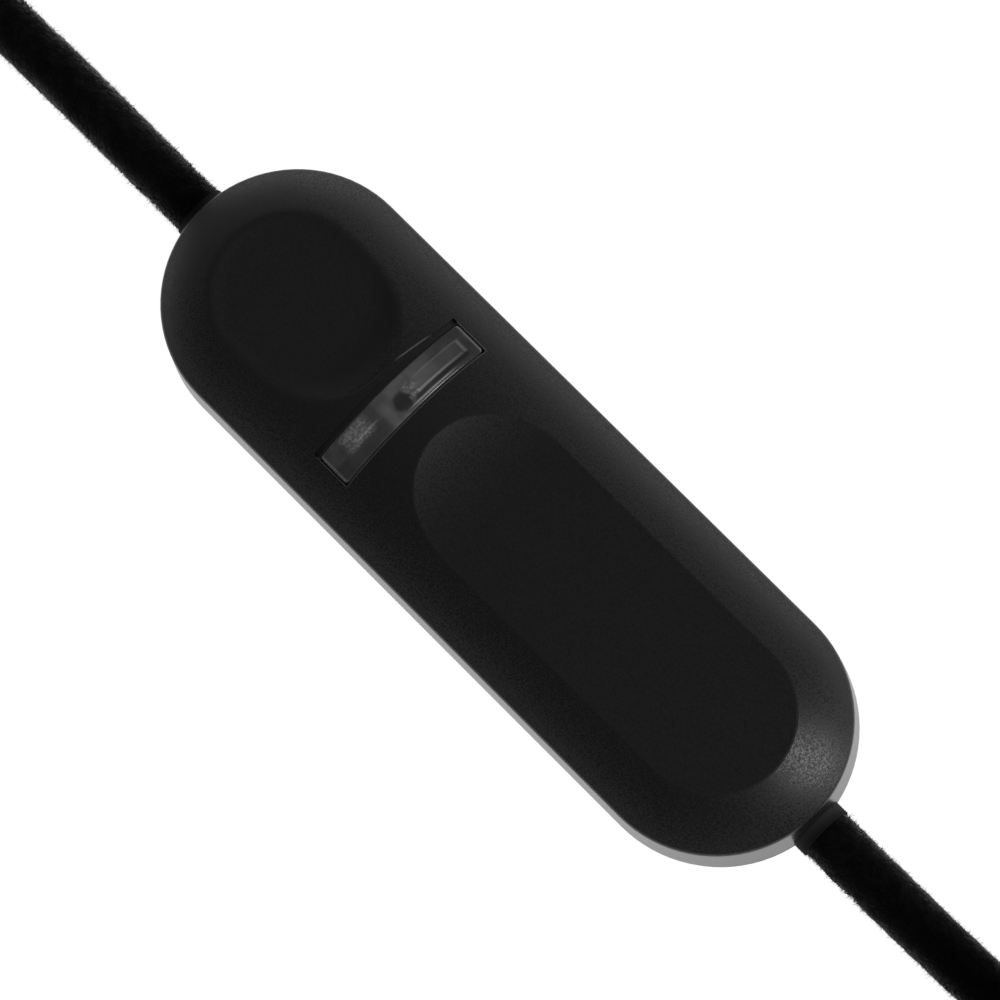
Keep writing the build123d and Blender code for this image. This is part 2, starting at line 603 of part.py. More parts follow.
def make_sleeve(side):
    """The sleeve shrunk on the cord's braid where it comes through the casing."""
    inner = LENGTH / 2 - WALL - SLEEVE_IN
    ring = Pos(inner, 0, CORD_Z) * (Plane.YZ * (Circle(SLEEVE_R) - Circle(CORD_R)))
    sleeve = extrude(ring, LENGTH / 2 + SLEEVE_OUT - inner, dir=(1, 0, 0))
    return Rot(0, 0, 0 if side > 0 else 180) * sleeve


def bend_radii(points):
    """The largest even bend at each corner of a route, from the shorter of its two runs and its turn."""
    runs = [Vector(*b) - Vector(*a) for a, b in zip(points, points[1:])]
    halves = [math.radians(a.get_angle(b)) / 2 for a, b in zip(runs, runs[1:])]
    shorter = [min(a.length, b.length) for a, b in zip(runs, runs[1:])]
    return [BEND_SHARE * run / math.tan(half) for run, half in zip(shorter, halves)]


def tube(points, radius, radii):
    """A round solid along straight runs and tangent arcs."""
    path = FilletPolyline(*points, radius=radii)
    return sweep(Plane(origin=path @ 0, z_dir=path % 0) * Circle(radius), path=path), path.length


def cord_tube(name, points):
    """A free stretch of cord, with its bends and its volume against section times length printed."""
    radii = bend_radii(points)
    solid, length = tube(points, CORD_R, radii)
    share = solid.volume / (math.pi * CORD_R**2 * length)
    print(f"{name}: length {length:.1f}, volume share {share:.4f}, radii", [round(r, 1) for r in radii])
    return solid


def make_core(side, across):
    """One of the cord's wires, from the sheath's end into a terminal."""
    entry = side * TERMINAL_FACE
    low_y, high_y = across * CORE_APART / 2, across * TERMINAL_PITCH / 2
    points = [
        (side * SHEATH_END, low_y, CORD_Z),
        (side * SHEATH_END - side * SHEATH_END_GAP, low_y, CORD_Z),
        (entry + side * SHEATH_END_GAP, high_y, ENTRY_Z),
        (entry - side * CORE_END_GAP, high_y, ENTRY_Z),
    ]
    return tube(points, CORE_R, [CORE_BEND, CORE_BEND])[0]


def stack(layers, y, margin=0.0):
    """The upright section of a stack of turns at one side of a hank, or of the strap round it."""
    plan = RectangleRounded(CORD_D + 2 * margin, layers * CORD_D + 2 * margin, BUNDLE_R + margin)
    return Pos(y, TIE_T + layers * CORD_R) * plan


def make_hank(run, layers, top_run):
    """A folded bundle from its near fold's centre along X: two runs, the far fold and a taller near fold."""
    low, high = Plane.YZ * stack(layers, -FOLD_R), Plane.YZ * stack(layers, FOLD_R)
    bundle = extrude(low, run) + extrude(high, run)
    bundle += Pos(run, 0, 0) * revolve(low, Axis.Z, 180)
    bundle += revolve(Plane.YZ * stack(layers + 1, FOLD_R), Axis.Z, 180)
    if top_run:
        bundle += extrude(Plane.YZ * stack(layers + 1, -FOLD_R), top_run)
    return bundle


def make_ties(low_layers, high_layers, at):
    """A strap round each run of a hank."""
    ties = []
    for layers, y in ((low_layers, -FOLD_R), (high_layers, FOLD_R)):
        ring = stack(layers, y, TIE_T) - stack(layers, y)
        ties.append(Pos(at, 0, 0) * extrude(Plane.YZ * ring, TIE_W))
    return ties


def make_plug():
    """A flat two-pin plug lying between the hank's runs: ribbed neck, tapered back and rounded face."""
    rear = Pos(PLUG_BACK, 0, PLUG_Z) * (Plane.YZ * SlotOverall(PLUG_REAR_W, PLUG_REAR_H))
    wide = Pos(PLUG_BACK + PLUG_TAPER_L, 0, PLUG_Z) * (Plane.YZ * SlotOverall(PLUG_W, PLUG_H))
    face = extrude(wide, PLUG_BODY_L, dir=(1, 0, 0))
    face = fillet(face.faces().sort_by(Axis.X)[-1].edges(), PLUG_FACE_R)
    body = face + loft([rear, wide])
    rib = PLUG_NECK_L / (2 * PLUG_RIBS + 1)
    for i in range(2 * PLUG_RIBS + 1):
        widening = (PLUG_NECK_R - PLUG_NECK_END_R) * i / (2 * PLUG_RIBS)
        groove = PLUG_RIB_DEPTH if i % 2 else 0
        ring = Plane.YZ * Circle(PLUG_NECK_END_R + widening - groove)
        body += Pos(PLUG_X + i * rib, 0, PLUG_Z) * extrude(ring, rib)
    return body - pin_seats()


def pin_seats():
    """The thinner ends of the pins, moulded into the plug."""
    seat = extrude(Plane.YZ * Circle(PIN_SEAT_R), PIN_SEAT)
    return Part() + [Pos(PLUG_FRONT - PIN_SEAT, y, PLUG_Z) * seat for y in (-PIN_PITCH / 2, PIN_PITCH / 2)]


def make_plug_pins():
    pin = extrude(Plane.YZ * Circle(PIN_R), PIN_L)
    pin = fillet(pin.faces().sort_by(Axis.X)[-1].edges(), PIN_TIP_R)
    return pin_seats() + [Pos(PLUG_FRONT, y, PLUG_Z) * pin for y in (-PIN_PITCH / 2, PIN_PITCH / 2)]


def lamp_end(across, corners):
    """A turned piece on one bare wire at the lamp cord's end, from (radius, length) corners."""
    start = -(LAMP_NEAR_X + LAMP_TOP_RUN)
    at = (start, FOLD_R + across * CORE_APART / 2, TIE_T + LAMP_LAYERS * CORD_D + CORD_R)
    return Pos(*at) * Rot(0, -90, 0) * revolved(corners, (0, 0, 0))


def make_lamp_end_core(across):
    return lamp_end(across, [(0, 0), (CORE_R, 0), (CORE_R, LAMP_TAIL_L), (0, LAMP_TAIL_L)])


def make_lamp_end_ferrules():
    """A crimped sleeve on each wire: its collar over the insulation, its tube ahead of it."""
    start, tip = LAMP_TAIL_L - FERRULE_COLLAR_L, LAMP_TAIL_L + FERRULE_L
    collar = [(CORE_R, start), (FERRULE_COLLAR_R, start), (FERRULE_COLLAR_R, LAMP_TAIL_L)]
    sleeve = [(FERRULE_R, LAMP_TAIL_L), (FERRULE_R, tip), (0, tip), (0, LAMP_TAIL_L), (CORE_R, LAMP_TAIL_L)]
    return [lamp_end(across, collar + sleeve) for across in (-1, 1)]


def main():
    mains_hank = Pos(MAINS_NEAR_X, 0, 0) * make_hank(MAINS_RUN, MAINS_LAYERS, 0)
    to_lamp = Pos(-LAMP_NEAR_X, 0, 0) * Rot(0, 0, 180)
    lamp_hank = to_lamp * make_hank(LAMP_RUN, LAMP_LAYERS, LAMP_TOP_RUN)
    mains_ties = make_ties(MAINS_LAYERS, MAINS_LAYERS, MAINS_TIE_X)
    mains_plug = make_plug()
    lamp_ties = make_ties(LAMP_LAYERS + 1, LAMP_LAYERS, LAMP_TIE_X)
    nodes = {
        "top_cover": make_top_cover(),
        "base_cover": make_base_cover(),
        "light_guide": make_light_guide(),
        "cover_screws": make_cover_screws(),
        "power_board": make_power_board(),
        "board_screws": make_board_screws(),
        "round_touch_board": make_round_touch_board(),
        "long_touch_board": make_long_touch_board(),
        "touch_contacts": make_touch_contacts(),
        "touch_controller": make_touch_controller(),
        "led_riser": make_led_riser(),
        "indicator_led": make_indicator_led(),
        "mains_terminal": make_terminal(1),
        "lamp_terminal": make_terminal(-1),
        "terminal_screws": make_terminal_screws(),
        "film_capacitor": make_film_capacitor(),
        "reservoir_capacitor": make_reservoir_capacitor(),
        "choke_core": make_choke(False),
        "choke_winding": make_choke(True),
        "power_transistors": make_power_transistors(),
        "heat_spreader": make_heat_spreader(),
        "fuse_tube": fuse_piece(FUSE_R, 0, FUSE_L, 0),
        "fuse_caps": make_fuse_caps(),
        "controller_chip": make_controller_chip(),
        "chip_resistors": make_chip_resistors(),
        "mains_clamp": make_clamp(1),
        "lamp_clamp": make_clamp(-1),
        "clamp_screws": make_clamp_screws(),
        "mains_sleeve": make_sleeve(1),
        "lamp_sleeve": make_sleeve(-1),
        "mains_live_core": make_core(1, 1),
        "mains_neutral_core": make_core(1, -1),
        "lamp_live_core": make_core(-1, 1),
        "lamp_neutral_core": make_core(-1, -1),
        "mains_cord": cord_tube("mains_cord", MAINS_ROUTE) - mains_hank,
        "lamp_cord": cord_tube("lamp_cord", LAMP_ROUTE) - lamp_hank,
        "mains_hank": mains_hank,
        "mains_ties": [Pos(MAINS_NEAR_X, 0, 0) * tie for tie in mains_ties],
        "mains_tail": cord_tube("mains_tail", TAIL_ROUTE) - mains_hank - mains_plug,
        "mains_plug": mains_plug,
        "mains_plug_pins": make_plug_pins(),
        "lamp_hank": lamp_hank,
        "lamp_ties": [to_lamp * tie for tie in lamp_ties],
        "lamp_end_live_core": make_lamp_end_core(1),
        "lamp_end_neutral_core": make_lamp_end_core(-1),
        "lamp_end_ferrules": make_lamp_end_ferrules(),
    }
    os.makedirs("parts", exist_ok=True)
    for name, made in nodes.items():
        pieces = [s for piece in (made if isinstance(made, list) else [made]) for s in piece.solids()]
        shape = pieces[0] if len(pieces) == 1 else Compound(children=pieces)
        export_step(shape, f"parts/{name}.step")


main()
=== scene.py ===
import json
import math
import random

import bpy
from mathutils import Matrix, Vector


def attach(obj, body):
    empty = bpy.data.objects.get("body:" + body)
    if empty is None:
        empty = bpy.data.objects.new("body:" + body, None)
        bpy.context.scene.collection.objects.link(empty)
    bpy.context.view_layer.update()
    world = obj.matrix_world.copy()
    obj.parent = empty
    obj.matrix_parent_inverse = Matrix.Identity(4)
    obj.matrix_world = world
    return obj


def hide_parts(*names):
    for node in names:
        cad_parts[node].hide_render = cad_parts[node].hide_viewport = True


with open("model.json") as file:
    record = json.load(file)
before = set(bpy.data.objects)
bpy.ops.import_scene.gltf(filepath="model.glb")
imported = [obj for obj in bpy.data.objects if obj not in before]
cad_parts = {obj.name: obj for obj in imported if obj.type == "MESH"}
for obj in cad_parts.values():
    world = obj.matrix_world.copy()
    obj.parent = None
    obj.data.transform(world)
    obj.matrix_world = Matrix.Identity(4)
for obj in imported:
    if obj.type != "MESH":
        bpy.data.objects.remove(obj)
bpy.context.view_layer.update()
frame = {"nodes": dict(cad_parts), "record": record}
NODES = frame["nodes"]
MM = 0.001

# Camera, fitted to the photograph's outline: degrees, millimetres and pixels
CAMERA_TILT_X = 11.783
CAMERA_TILT_Y = -4.174
CAMERA_TURN = 45.741
CAMERA_FAR = 800.0
CAMERA_TARGET = (-1.701, 0.62, 9.0)
CAMERA_CLIP = 100e3
FOCAL_PX = 6919.8
IMAGE_PX = 1000
SENSOR = 36.0

# Cords in millimetres, as in the part's source
CORD_D = 6.4
CORD_R = CORD_D / 2
FOLD_R = 19.2
LAYER_Z = 3.7
MAINS_ROUTE = [(37.0, 0, 6.0), (60.0, 0, 6.0), (75.0, 0.4, 3.7), (87.0, 1.0, 4.0)]
LAMP_ROUTE = [(-37.0, 0, 6.0), (-60.0, 0, 6.0), (-75.0, 0.2, 3.7), (-88.0, 0, 4.0)]
TAIL_ROUTE = [
    (120.4, -18.0, 29.3), (132.4, -13.2, 29.1), (143.0, -5.4, 28.9), (155.4, -0.5, 28.8), (168.6, 0, 28.75),
]
MAINS_NEAR_X = 107.6
MAINS_FAR_X = 203.6
MAINS_TURNS = 4
LAMP_NEAR_X = 108.6
LAMP_FAR_X = 184.6
LAMP_TURNS = 1
LAMP_END_X = 158.6
# The lamp side's near fold, drawn a little further out than the solid so that it stays out of the picture
LAMP_FOLD_X = 110.6
# The way from the lead under the near fold to the hank's first run, from the near fold's centre
LEAD_IN = [(-9.5, 0.2), (0.5, -4.4), (9.0, -11.0), (18.0, -16.6), (29.0, -19.2), (42.0, -19.2)]
# Degrees between a fold's control points, and how far the points before and after it lie from its centre
FOLD_STEP = 30
FOLD_LEAD = FOLD_R * math.tan(math.radians(FOLD_STEP / 2))
# A hank's straight runs: how far their points lie from the fold's centre, how far they wander sideways,
# and how much of the climb to the next layer is done at the far and the near point on the way back
RUN_END = 34
RUN_WANDER = 0.5
CLIMB_FAR = 0.3
CLIMB_NEAR = 0.7
# Seeds of the random draws
MAINS_SEEDS = {"route": 11, "cord": 31, "nap": 21}
LAMP_SEEDS = {"route": 12, "cord": 32, "nap": 22}

# The cords' meshes, in millimetres
CURVE_STEPS = 24
CORD_SIDES = 24
CORD_STEP = 1.5
CORD_UNEVEN = 0.13
# The nap, in millimetres: fibres on each step of the stretch that the picture shows and of the rest,
# each one a strip with a root under the surface, one bend and a tip
SEEN_CORD = 62
FUZZ_NEAR = 800
FUZZ_FAR = 24
FUZZ_W = 0.05
FUZZ_ROOT = 0.05
FUZZ_TAPER = 0.8
# The lift at the bend and at the tip, as shares of the fibre's own
BEND_LIFT = 0.6
TIP_LIFT = (0.5, 1.25)
# Most fibres are short. A share of them are long hairs, whose lift is the first value and a part of the second.
SHORT_LIFT = (0.1, 0.34)
SHORT_LONG = (0.15, 0.45)
HAIR_SHARE = 0.2
HAIR_LIFT = (0.05, 0.75)
HAIR_LONG = (0.5, 1.3)


# Camera and cords

def make_camera():
    tilt_x, tilt_y, turn = (math.radians(v) for v in (CAMERA_TILT_X, CAMERA_TILT_Y, CAMERA_TURN))
    back = Vector((math.tan(tilt_x), math.tan(tilt_y), 1.0)).normalized()
    right = (-back).cross(Vector((-math.sin(turn), math.cos(turn), 0))).normalized()
    up = right.cross(-back)
    data = bpy.data.cameras.new("camera")
    data.sensor_width = SENSOR
    data.lens = FOCAL_PX / IMAGE_PX * SENSOR
    data.clip_end = CAMERA_CLIP * MM
    camera = bpy.data.objects.new("camera", data)
    bpy.context.collection.objects.link(camera)
    place = (Vector(CAMERA_TARGET) + back * CAMERA_FAR) * MM
    camera.matrix_world = Matrix.Translation(place) @ Matrix((right, up, back)).transposed().to_4x4()
    bpy.context.scene.camera = camera


def fold(centre_x, side, z):
    """Control points round one fold of a hank: side 1 is the far fold, -1 the near one."""
    reach = FOLD_R / math.cos(math.radians(FOLD_STEP / 2))
    points = []
    for i in range(180 // FOLD_STEP):
        angle = math.radians(-90 * side + FOLD_STEP * (i + 0.5))
        points.append((centre_x + reach * math.cos(angle), reach * math.sin(angle), z))
    return points


def hank_turns(near_x, far_x, turns, seed):
    """The turns of a hank from its first run: along the low side, round the far fold, back and up a layer."""
    rng = random.Random(seed)
    near, far = near_x + FOLD_LEAD, far_x - FOLD_LEAD
    near_run, far_run = near_x + RUN_END, far_x - RUN_END
    points = []
    for turn in range(turns):
        z = LAYER_Z + CORD_D * turn
        wander = [rng.uniform(-RUN_WANDER, RUN_WANDER) for _ in range(4)]
        if turn:
            points += [(near, -FOLD_R, z), (near_run, -FOLD_R + wander[0], z)]
        points += [(far_run, -FOLD_R + wander[1], z), (far, -FOLD_R, z)]
        points += fold(far_x, 1, z)
        points += [(far, FOLD_R, z), (far_run, FOLD_R + wander[2], z + CLIMB_FAR * CORD_D)]
        points += [(near_run, FOLD_R + wander[3], z + CLIMB_NEAR * CORD_D), (near, FOLD_R, z + CORD_D)]
        points += fold(near_x, -1, z + CORD_D)
    return points


def lead_in(near_x):
    return [(near_x + x, y, LAYER_Z) for x, y in LEAD_IN]


def mains_points():
    turns = hank_turns(MAINS_NEAR_X, MAINS_FAR_X, MAINS_TURNS, MAINS_SEEDS["route"])
    return MAINS_ROUTE + lead_in(MAINS_NEAR_X) + turns + TAIL_ROUTE


def lamp_points():
    """The lamp side's route: its hank is laid out as on the mains side and then turned half round."""
    turns = hank_turns(LAMP_FOLD_X, LAMP_FAR_X, LAMP_TURNS, LAMP_SEEDS["route"])
    z = LAYER_Z + CORD_D * LAMP_TURNS
    last = [(LAMP_FOLD_X + FOLD_LEAD, -FOLD_R, z), (LAMP_END_X, -FOLD_R, z)]
    return LAMP_ROUTE + [(-x, -y, z) for x, y, z in lead_in(LAMP_NEAR_X) + turns + last]


def centreline(points):
    """Points in metres at even steps along the smooth curve of a route, and the curve's length."""
    data = bpy.data.curves.new("route", "CURVE")
    data.dimensions = "3D"
    data.resolution_u = CURVE_STEPS
    spline = data.splines.new("NURBS")
    spline.points.add(len(points) - 1)
    for place, point in zip(spline.points, points):
        place.co = (*(v * MM for v in point), 1.0)
    spline.order_u = 3
    spline.use_endpoint_u = True
    curve = bpy.data.objects.new("route", data)
    bpy.context.collection.objects.link(curve)
    mesh = bpy.data.meshes.new_from_object(curve.evaluated_get(bpy.context.evaluated_depsgraph_get()))
    dense = [v.co.copy() for v in mesh.vertices]
    bpy.data.objects.remove(curve)
    bpy.data.meshes.remove(mesh)
    bpy.data.curves.remove(data)
    reach = [0.0]
    for a, b in zip(dense, dense[1:]):
        reach.append(reach[-1] + (b - a).length)
    length = reach[-1]
    count = round(length / (CORD_STEP * MM))
    line, k = [], 0
    for i in range(count + 1):
        at = length * i / count
        while k < len(dense) - 2 and reach[k + 1] < at:
            k += 1
        span = reach[k + 1] - reach[k]
        line.append(dense[k].lerp(dense[k + 1], (at - reach[k]) / span if span else 0.0))
    return line, length


def frames(line):
    """Each point of a line with its direction and a pair of side directions that don't twist."""
    out = []
    side = Vector((0, 0, 1))
    for i, point in enumerate(line):
        ahead = (line[min(i + 1, len(line) - 1)] - line[max(i - 1, 0)]).normalized()
        side = (side - ahead * side.dot(ahead)).normalized()
        out.append((point, ahead, side, ahead.cross(side)))
    return out


def new_object(name, verts, faces):
    mesh = bpy.data.meshes.new(name)
    mesh.from_pydata(verts, [], faces)
    obj = bpy.data.objects.new(name, mesh)
    bpy.context.collection.objects.link(obj)
    return obj


def make_cord(name, line, seed):
    """A round textile cord along a line, with its length and turn kept as coordinates for the braid."""
    rng = random.Random(seed)
    verts, faces, coords = [], [], []
    for point, _, side, across in frames(line):
        for k in range(CORD_SIDES):
            a = 2 * math.pi * k / CORD_SIDES
            out = side * math.cos(a) + across * math.sin(a)
            verts.append(point + out * (CORD_R + rng.uniform(-CORD_UNEVEN, CORD_UNEVEN)) * MM)
    for i in range(len(line) - 1):
        low, high = i * CORD_SIDES, (i + 1) * CORD_SIDES
        u0, u1 = i * CORD_STEP, (i + 1) * CORD_STEP
        for k in range(CORD_SIDES):
            n = (k + 1) % CORD_SIDES
            v0, v1 = k / CORD_SIDES, (k + 1) / CORD_SIDES
            faces.append((low + k, low + n, high + n, high + k))
            coords += [(u0, v0), (u0, v1), (u1, v1), (u1, v0)]
    faces.append(tuple(reversed(range(CORD_SIDES))))
    faces.append(tuple(range((len(line) - 1) * CORD_SIDES, len(line) * CORD_SIDES)))
    coords += [(0, 0)] * (2 * CORD_SIDES)
    cord = new_object(name, verts, faces)
    layer = cord.data.uv_layers.new(name="braid")
    for place, uv in zip(layer.data, coords):
        place.uv = uv
    cord.data.polygons.foreach_set("use_smooth", [True] * len(cord.data.polygons))
    return cord


def make_fuzz(name, line, seed):
    """Loose fibre ends over a cord: thick on the stretch that the picture shows, thinner on the rest."""
    rng = random.Random(seed)
    verts, faces = [], []
    near = round(SEEN_CORD / CORD_STEP)
    for i, (point, ahead, side, across) in enumerate(frames(line)):
        for _ in range(FUZZ_NEAR if i < near else FUZZ_FAR):
            a = rng.uniform(0, 2 * math.pi)
            out = side * math.cos(a) + across * math.sin(a)
            around = across * math.cos(a) - side * math.sin(a)
            lean = rng.uniform(0, 2 * math.pi)
            along = ahead * math.cos(lean) + around * math.sin(lean)
            hair = rng.random() < HAIR_SHARE
            lift = HAIR_LIFT[0] + HAIR_LIFT[1] * rng.random() ** 2 if hair else rng.uniform(*SHORT_LIFT)
            long = rng.uniform(*(HAIR_LONG if hair else SHORT_LONG))
            root = point + (ahead * rng.uniform(0, CORD_STEP) + out * (CORD_R - FUZZ_ROOT)) * MM
            bend = root + (along * long / 2 + out * lift * BEND_LIFT) * MM
            tip = root + (along * long + out * lift * rng.uniform(*TIP_LIFT)) * MM
            wide = out.cross(along) * FUZZ_W / 2 * MM
            k = len(verts)
            verts += [root - wide, root + wide, bend + wide * FUZZ_TAPER, bend - wide * FUZZ_TAPER, tip]
            faces += [(k, k + 1, k + 2, k + 3), (k + 3, k + 2, k + 4)]
    return new_object(name, verts, faces)


# Materials

def rgb(*c):
    return (*c, 1.0)


def grey(v):
    return (v, v, v, 1.0)


def times(colour, much):
    return rgb(*(min(v * much, 1.0) for v in colour))


class Nodes:
    """A short way to write a material's nodes."""

    # The Mix node's sockets for each type: both values and the result
    MIX = {"FLOAT": (2, 3, 0), "RGBA": (6, 7, 2)}

    def __init__(self, name):
        self.material = bpy.data.materials.new(name)
        self.material.use_nodes = True
        self.tree = self.material.node_tree
        self.tree.nodes.clear()
        self.out = self.tree.nodes.new("ShaderNodeOutputMaterial")

    def add(self, kind, **values):
        """A node, with its own settings and its sockets given by name."""
        node = self.tree.nodes.new("ShaderNode" + kind)
        for key, value in values.items():
            if hasattr(node, key):
                setattr(node, key, value)
            else:
                self.put(node.inputs[key.replace("_", " ")], value)
        return node

    def put(self, socket, value):
        if isinstance(value, bpy.types.NodeSocket):
            self.tree.links.new(value, socket)
        else:
            socket.default_value = value

    def math(self, operation, *values):
        node = self.add("Math", operation=operation)
        for socket, value in zip(node.inputs, values):
            self.put(socket, value)
        return node.outputs[0]

    def mix(self, factor, a, b, kind="RGBA"):
        first, second, result = self.MIX[kind]
        node = self.add("Mix", data_type=kind, Factor=factor)
        self.put(node.inputs[first], a)
        self.put(node.inputs[second], b)
        return node.outputs[result]

    def ramp(self, value, low, high, to_low=0.0, to_high=1.0):
        ends = {"From_Min": low, "From_Max": high, "To_Min": to_low, "To_Max": to_high}
        return self.add("MapRange", interpolation_type="SMOOTHSTEP", Value=value, **ends).outputs[0]

    def band(self, value, low, high, soft):
        """1 between low and high, falling to 0 over the soft width outside."""
        return self.math("MULTIPLY", self.ramp(value, low - soft, low), self.ramp(value, high + soft, high))

    def both(self, first, *others):
        for other in others:
            first = self.math("MULTIPLY", first, other)
        return first

    def past(self, value, middle, half):
        """How far a value lies from a middle, less half a width."""
        return self.math("SUBTRACT", self.math("ABSOLUTE", self.math("SUBTRACT", value, middle)), half)

    def length(self, a, b):
        return self.math("SQRT", self.math("ADD", self.math("POWER", a, 2.0), self.math("POWER", b, 2.0)))

    def place(self):
        return self.add("TexCoord").outputs["Object"]

    def millimetres(self):
        """The place on the object along each axis."""
        split = self.add("SeparateXYZ", Vector=self.place())
        return [self.math("MULTIPLY", split.outputs[axis], 1 / MM) for axis in ("X", "Y", "Z")]

    def noise(self, scale, detail=2.0, rough=0.5):
        values = {"Scale": scale, "Detail": detail, "Roughness": rough}
        return self.add("TexNoise", Vector=self.place(), **values).outputs[0]

    def bump(self, height, strength, distance, **values):
        return self.add("Bump", Height=height, Strength=strength, Distance=distance * MM, **values).outputs[0]

    def principled(self, **values):
        node = self.add("BsdfPrincipled", **values)
        self.tree.links.new(node.outputs[0], self.out.inputs[0])


def moulded(name, colour, rough, grain, bump):
    """Moulded plastic with a fine eroded grain and slightly uneven gloss."""
    n = Nodes(name)
    fine = n.noise(1 / (grain * MM))
    broad = n.noise(120.0, 3.0)
    base = n.mix(broad, times(colour, 0.85), times(colour, 1.15))
    gloss = n.ramp(broad, 0.3, 0.7, rough - 0.04, rough + 0.04)
    n.principled(Base_Color=base, Roughness=gloss, Normal=n.bump(fine, bump, grain / 10))
    return n.material


def plated(name, colour, rough):
    """Plated or drawn metal with fine wipe marks."""
    n = Nodes(name)
    fine = n.noise(2500.0, 3.0)
    base = n.mix(n.noise(300.0), times(colour, 0.92), rgb(*colour))
    gloss = n.ramp(fine, 0.3, 0.7, rough - 0.05, rough + 0.07)
    n.principled(Base_Color=base, Roughness=gloss, Metallic=1.0, Normal=n.bump(fine, 0.08, 0.01))
    return n.material


# Where the sleeves leave the casing and where they end
SLEEVE_X = (50.9, 52.3)


def base_black():
    """The base's dull black, duller on the cord sleeves, with a painted highlight that makes them paler where
    they leave the casing.
    """
    n = Nodes("base_black")
    out = n.math("ABSOLUTE", n.millimetres()[0])
    sleeve = n.ramp(out, SLEEVE_X[0] - 0.2, SLEEVE_X[0])
    # A painted highlight: paler where the sleeves leave the casing, fading along them
    painted_highlight = n.both(sleeve, n.ramp(out, SLEEVE_X[1], SLEEVE_X[0]))
    base = n.mix(painted_highlight, rgb(0.007, 0.007, 0.0072), grey(0.03))
    gloss = n.math("MULTIPLY_ADD", sleeve, 0.25, 0.6)
    bump = n.bump(n.noise(4500.0), 0.12, 0.022)
    n.principled(Base_Color=base, Roughness=gloss, Specular_IOR_Level=0.25, Normal=bump)
    return n.material


# The top cover in millimetres: the crease, the light bar's gap and ledge, and a painted highlight line beside
# them
CREASE_Z = (12.1, 12.9)
BAR_X = -16.4
BAR_HALF = (2.2, 11.0)
BAR_GAP = (0.32, 0.25)
LEDGE_X = (-19.45, -18.85)
GLINT_LINE_X = -20.3
GLINT_LINE_SLANT = 0.1
GLINT_LINE_Y = (4.0, 6.6)
# A painted glow at the bar's flanks and on the gap's walls round it, so that the gap round it isn't black
EDGE_GLOW = 0.007
# The round touch area: the middle and half length of its axis, where its rim lies from that, and how soft it is
ROUND_X = -33.7
ROUND_RUN = 1.3
ROUND_RIM = (7.6, 11.0)
ROUND_SOFT = 1.7


def cover_black():
    """The casing's top: a fine spark grain on the crown and the flats, and a smoother satin skirt."""
    n = Nodes("cover_black")
    x, y, z = n.millimetres()
    crown = n.ramp(z, *CREASE_Z)
    grain = n.noise(3900.0, 2.0, 0.7)
    base = n.mix(n.noise(90.0, 3.0), rgb(0.0065, 0.0065, 0.0067), rgb(0.0085, 0.0085, 0.0087))
    sparkle = n.ramp(grain, 0.35, 0.65, -0.13, 0.13)
    gloss = n.math("MULTIPLY_ADD", sparkle, crown, n.ramp(z, *CREASE_Z, 0.29, 0.43))
    # Painted light in the gap round the light bar and on its ledge, which lifts their shade, and a painted
    # highlight line beside them
    past_y = n.past(y, 0.0, BAR_HALF[1])
    painted_gap_light = n.ramp(n.math("MAXIMUM", n.past(x, BAR_X, BAR_HALF[0]), past_y), *BAR_GAP)
    painted_ledge_light = n.both(n.band(x, *LEDGE_X, 0.03), n.ramp(past_y, *BAR_GAP))
    line = n.math("MULTIPLY_ADD", y, -GLINT_LINE_SLANT, n.math("SUBTRACT", x, GLINT_LINE_X))
    painted_highlight = n.both(n.band(line, -0.05, 0.05, 0.07), n.band(y, *GLINT_LINE_Y, 1.6))
    for mask, pale in ((painted_gap_light, 0.2), (painted_ledge_light, 0.016), (painted_highlight, 0.12)):
        base = n.mix(mask, base, grey(pale))
    # The round area runs softly into the crown at its sides
    reach = n.length(n.math("MAXIMUM", n.past(x, ROUND_X, ROUND_RUN), 0.0), y)
    soft = n.math("MULTIPLY", n.band(reach, *ROUND_RIM, 0.8), ROUND_SOFT * MM)
    rounded = n.add("Bevel", samples=8, Radius=soft).outputs[0]
    n.principled(
        Base_Color=base, Roughness=gloss, IOR=1.48, Emission_Color=grey(1.0),
        # A painted glow on the gap's walls round the light bar
        Emission_Strength=n.math("MULTIPLY", painted_gap_light, EDGE_GLOW),
        Normal=n.bump(grain, n.math("MULTIPLY_ADD", crown, 0.2, 0.03), 0.05, Normal=rounded),
    )
    return n.material


# Marks in the light bar, in millimetres from its middle: x from, to and blur, then y from, to and blur
BAR_MARKS = {
    # The pocket and its walls: painted light, lighter lines where the walls inside the bar bend the light
    "pocket": (-0.75, 0.95, 0.15, 2.9, 9.7, 0.3),
    "far_wall": (0.8, 0.95, 0.12, 2.4, 8.8, 0.5),
    "near_wall": (-0.85, -0.75, 0.12, 3.2, 9.4, 0.5),
    "end_wall": (-0.6, 0.9, 0.2, 9.4, 9.6, 0.15),
    "web": (1.2, 1.5, 0.15, 1.8, 9.3, 0.8),
    # A painted highlight along the bar's +X edge
    "edge_highlight": (1.72, 1.82, 0.1, 1.6, 5.6, 2.2),
    "crumbs": (-0.6, 0.9, 0.5, 1.3, 2.3, 0.6),
    "bridge": (-0.8, 1.9, 0.6, -2.4, -1.9, 0.6),
    "dull": (0.5, 2.4, 0.4, -20.0, -3.6, 1.2),
    "frost": (-1.6, 0.3, 0.5, -7.6, -5.0, 1.2),
    "scratch": (-0.12, 0.0, 0.1, -6.4, -3.8, 0.6),
}
# A painted highlight line at each end of the bar
BAR_RIM_HIGHLIGHT = (10.74, 10.86, 0.09)
# The lamp hole: its middle, its edge from outside to inside, and how uneven it is
HOLE_AT = (1.05, 0.4)
HOLE_EDGE = (1.45, 0.85)
HOLE_UNEVEN = 0.9
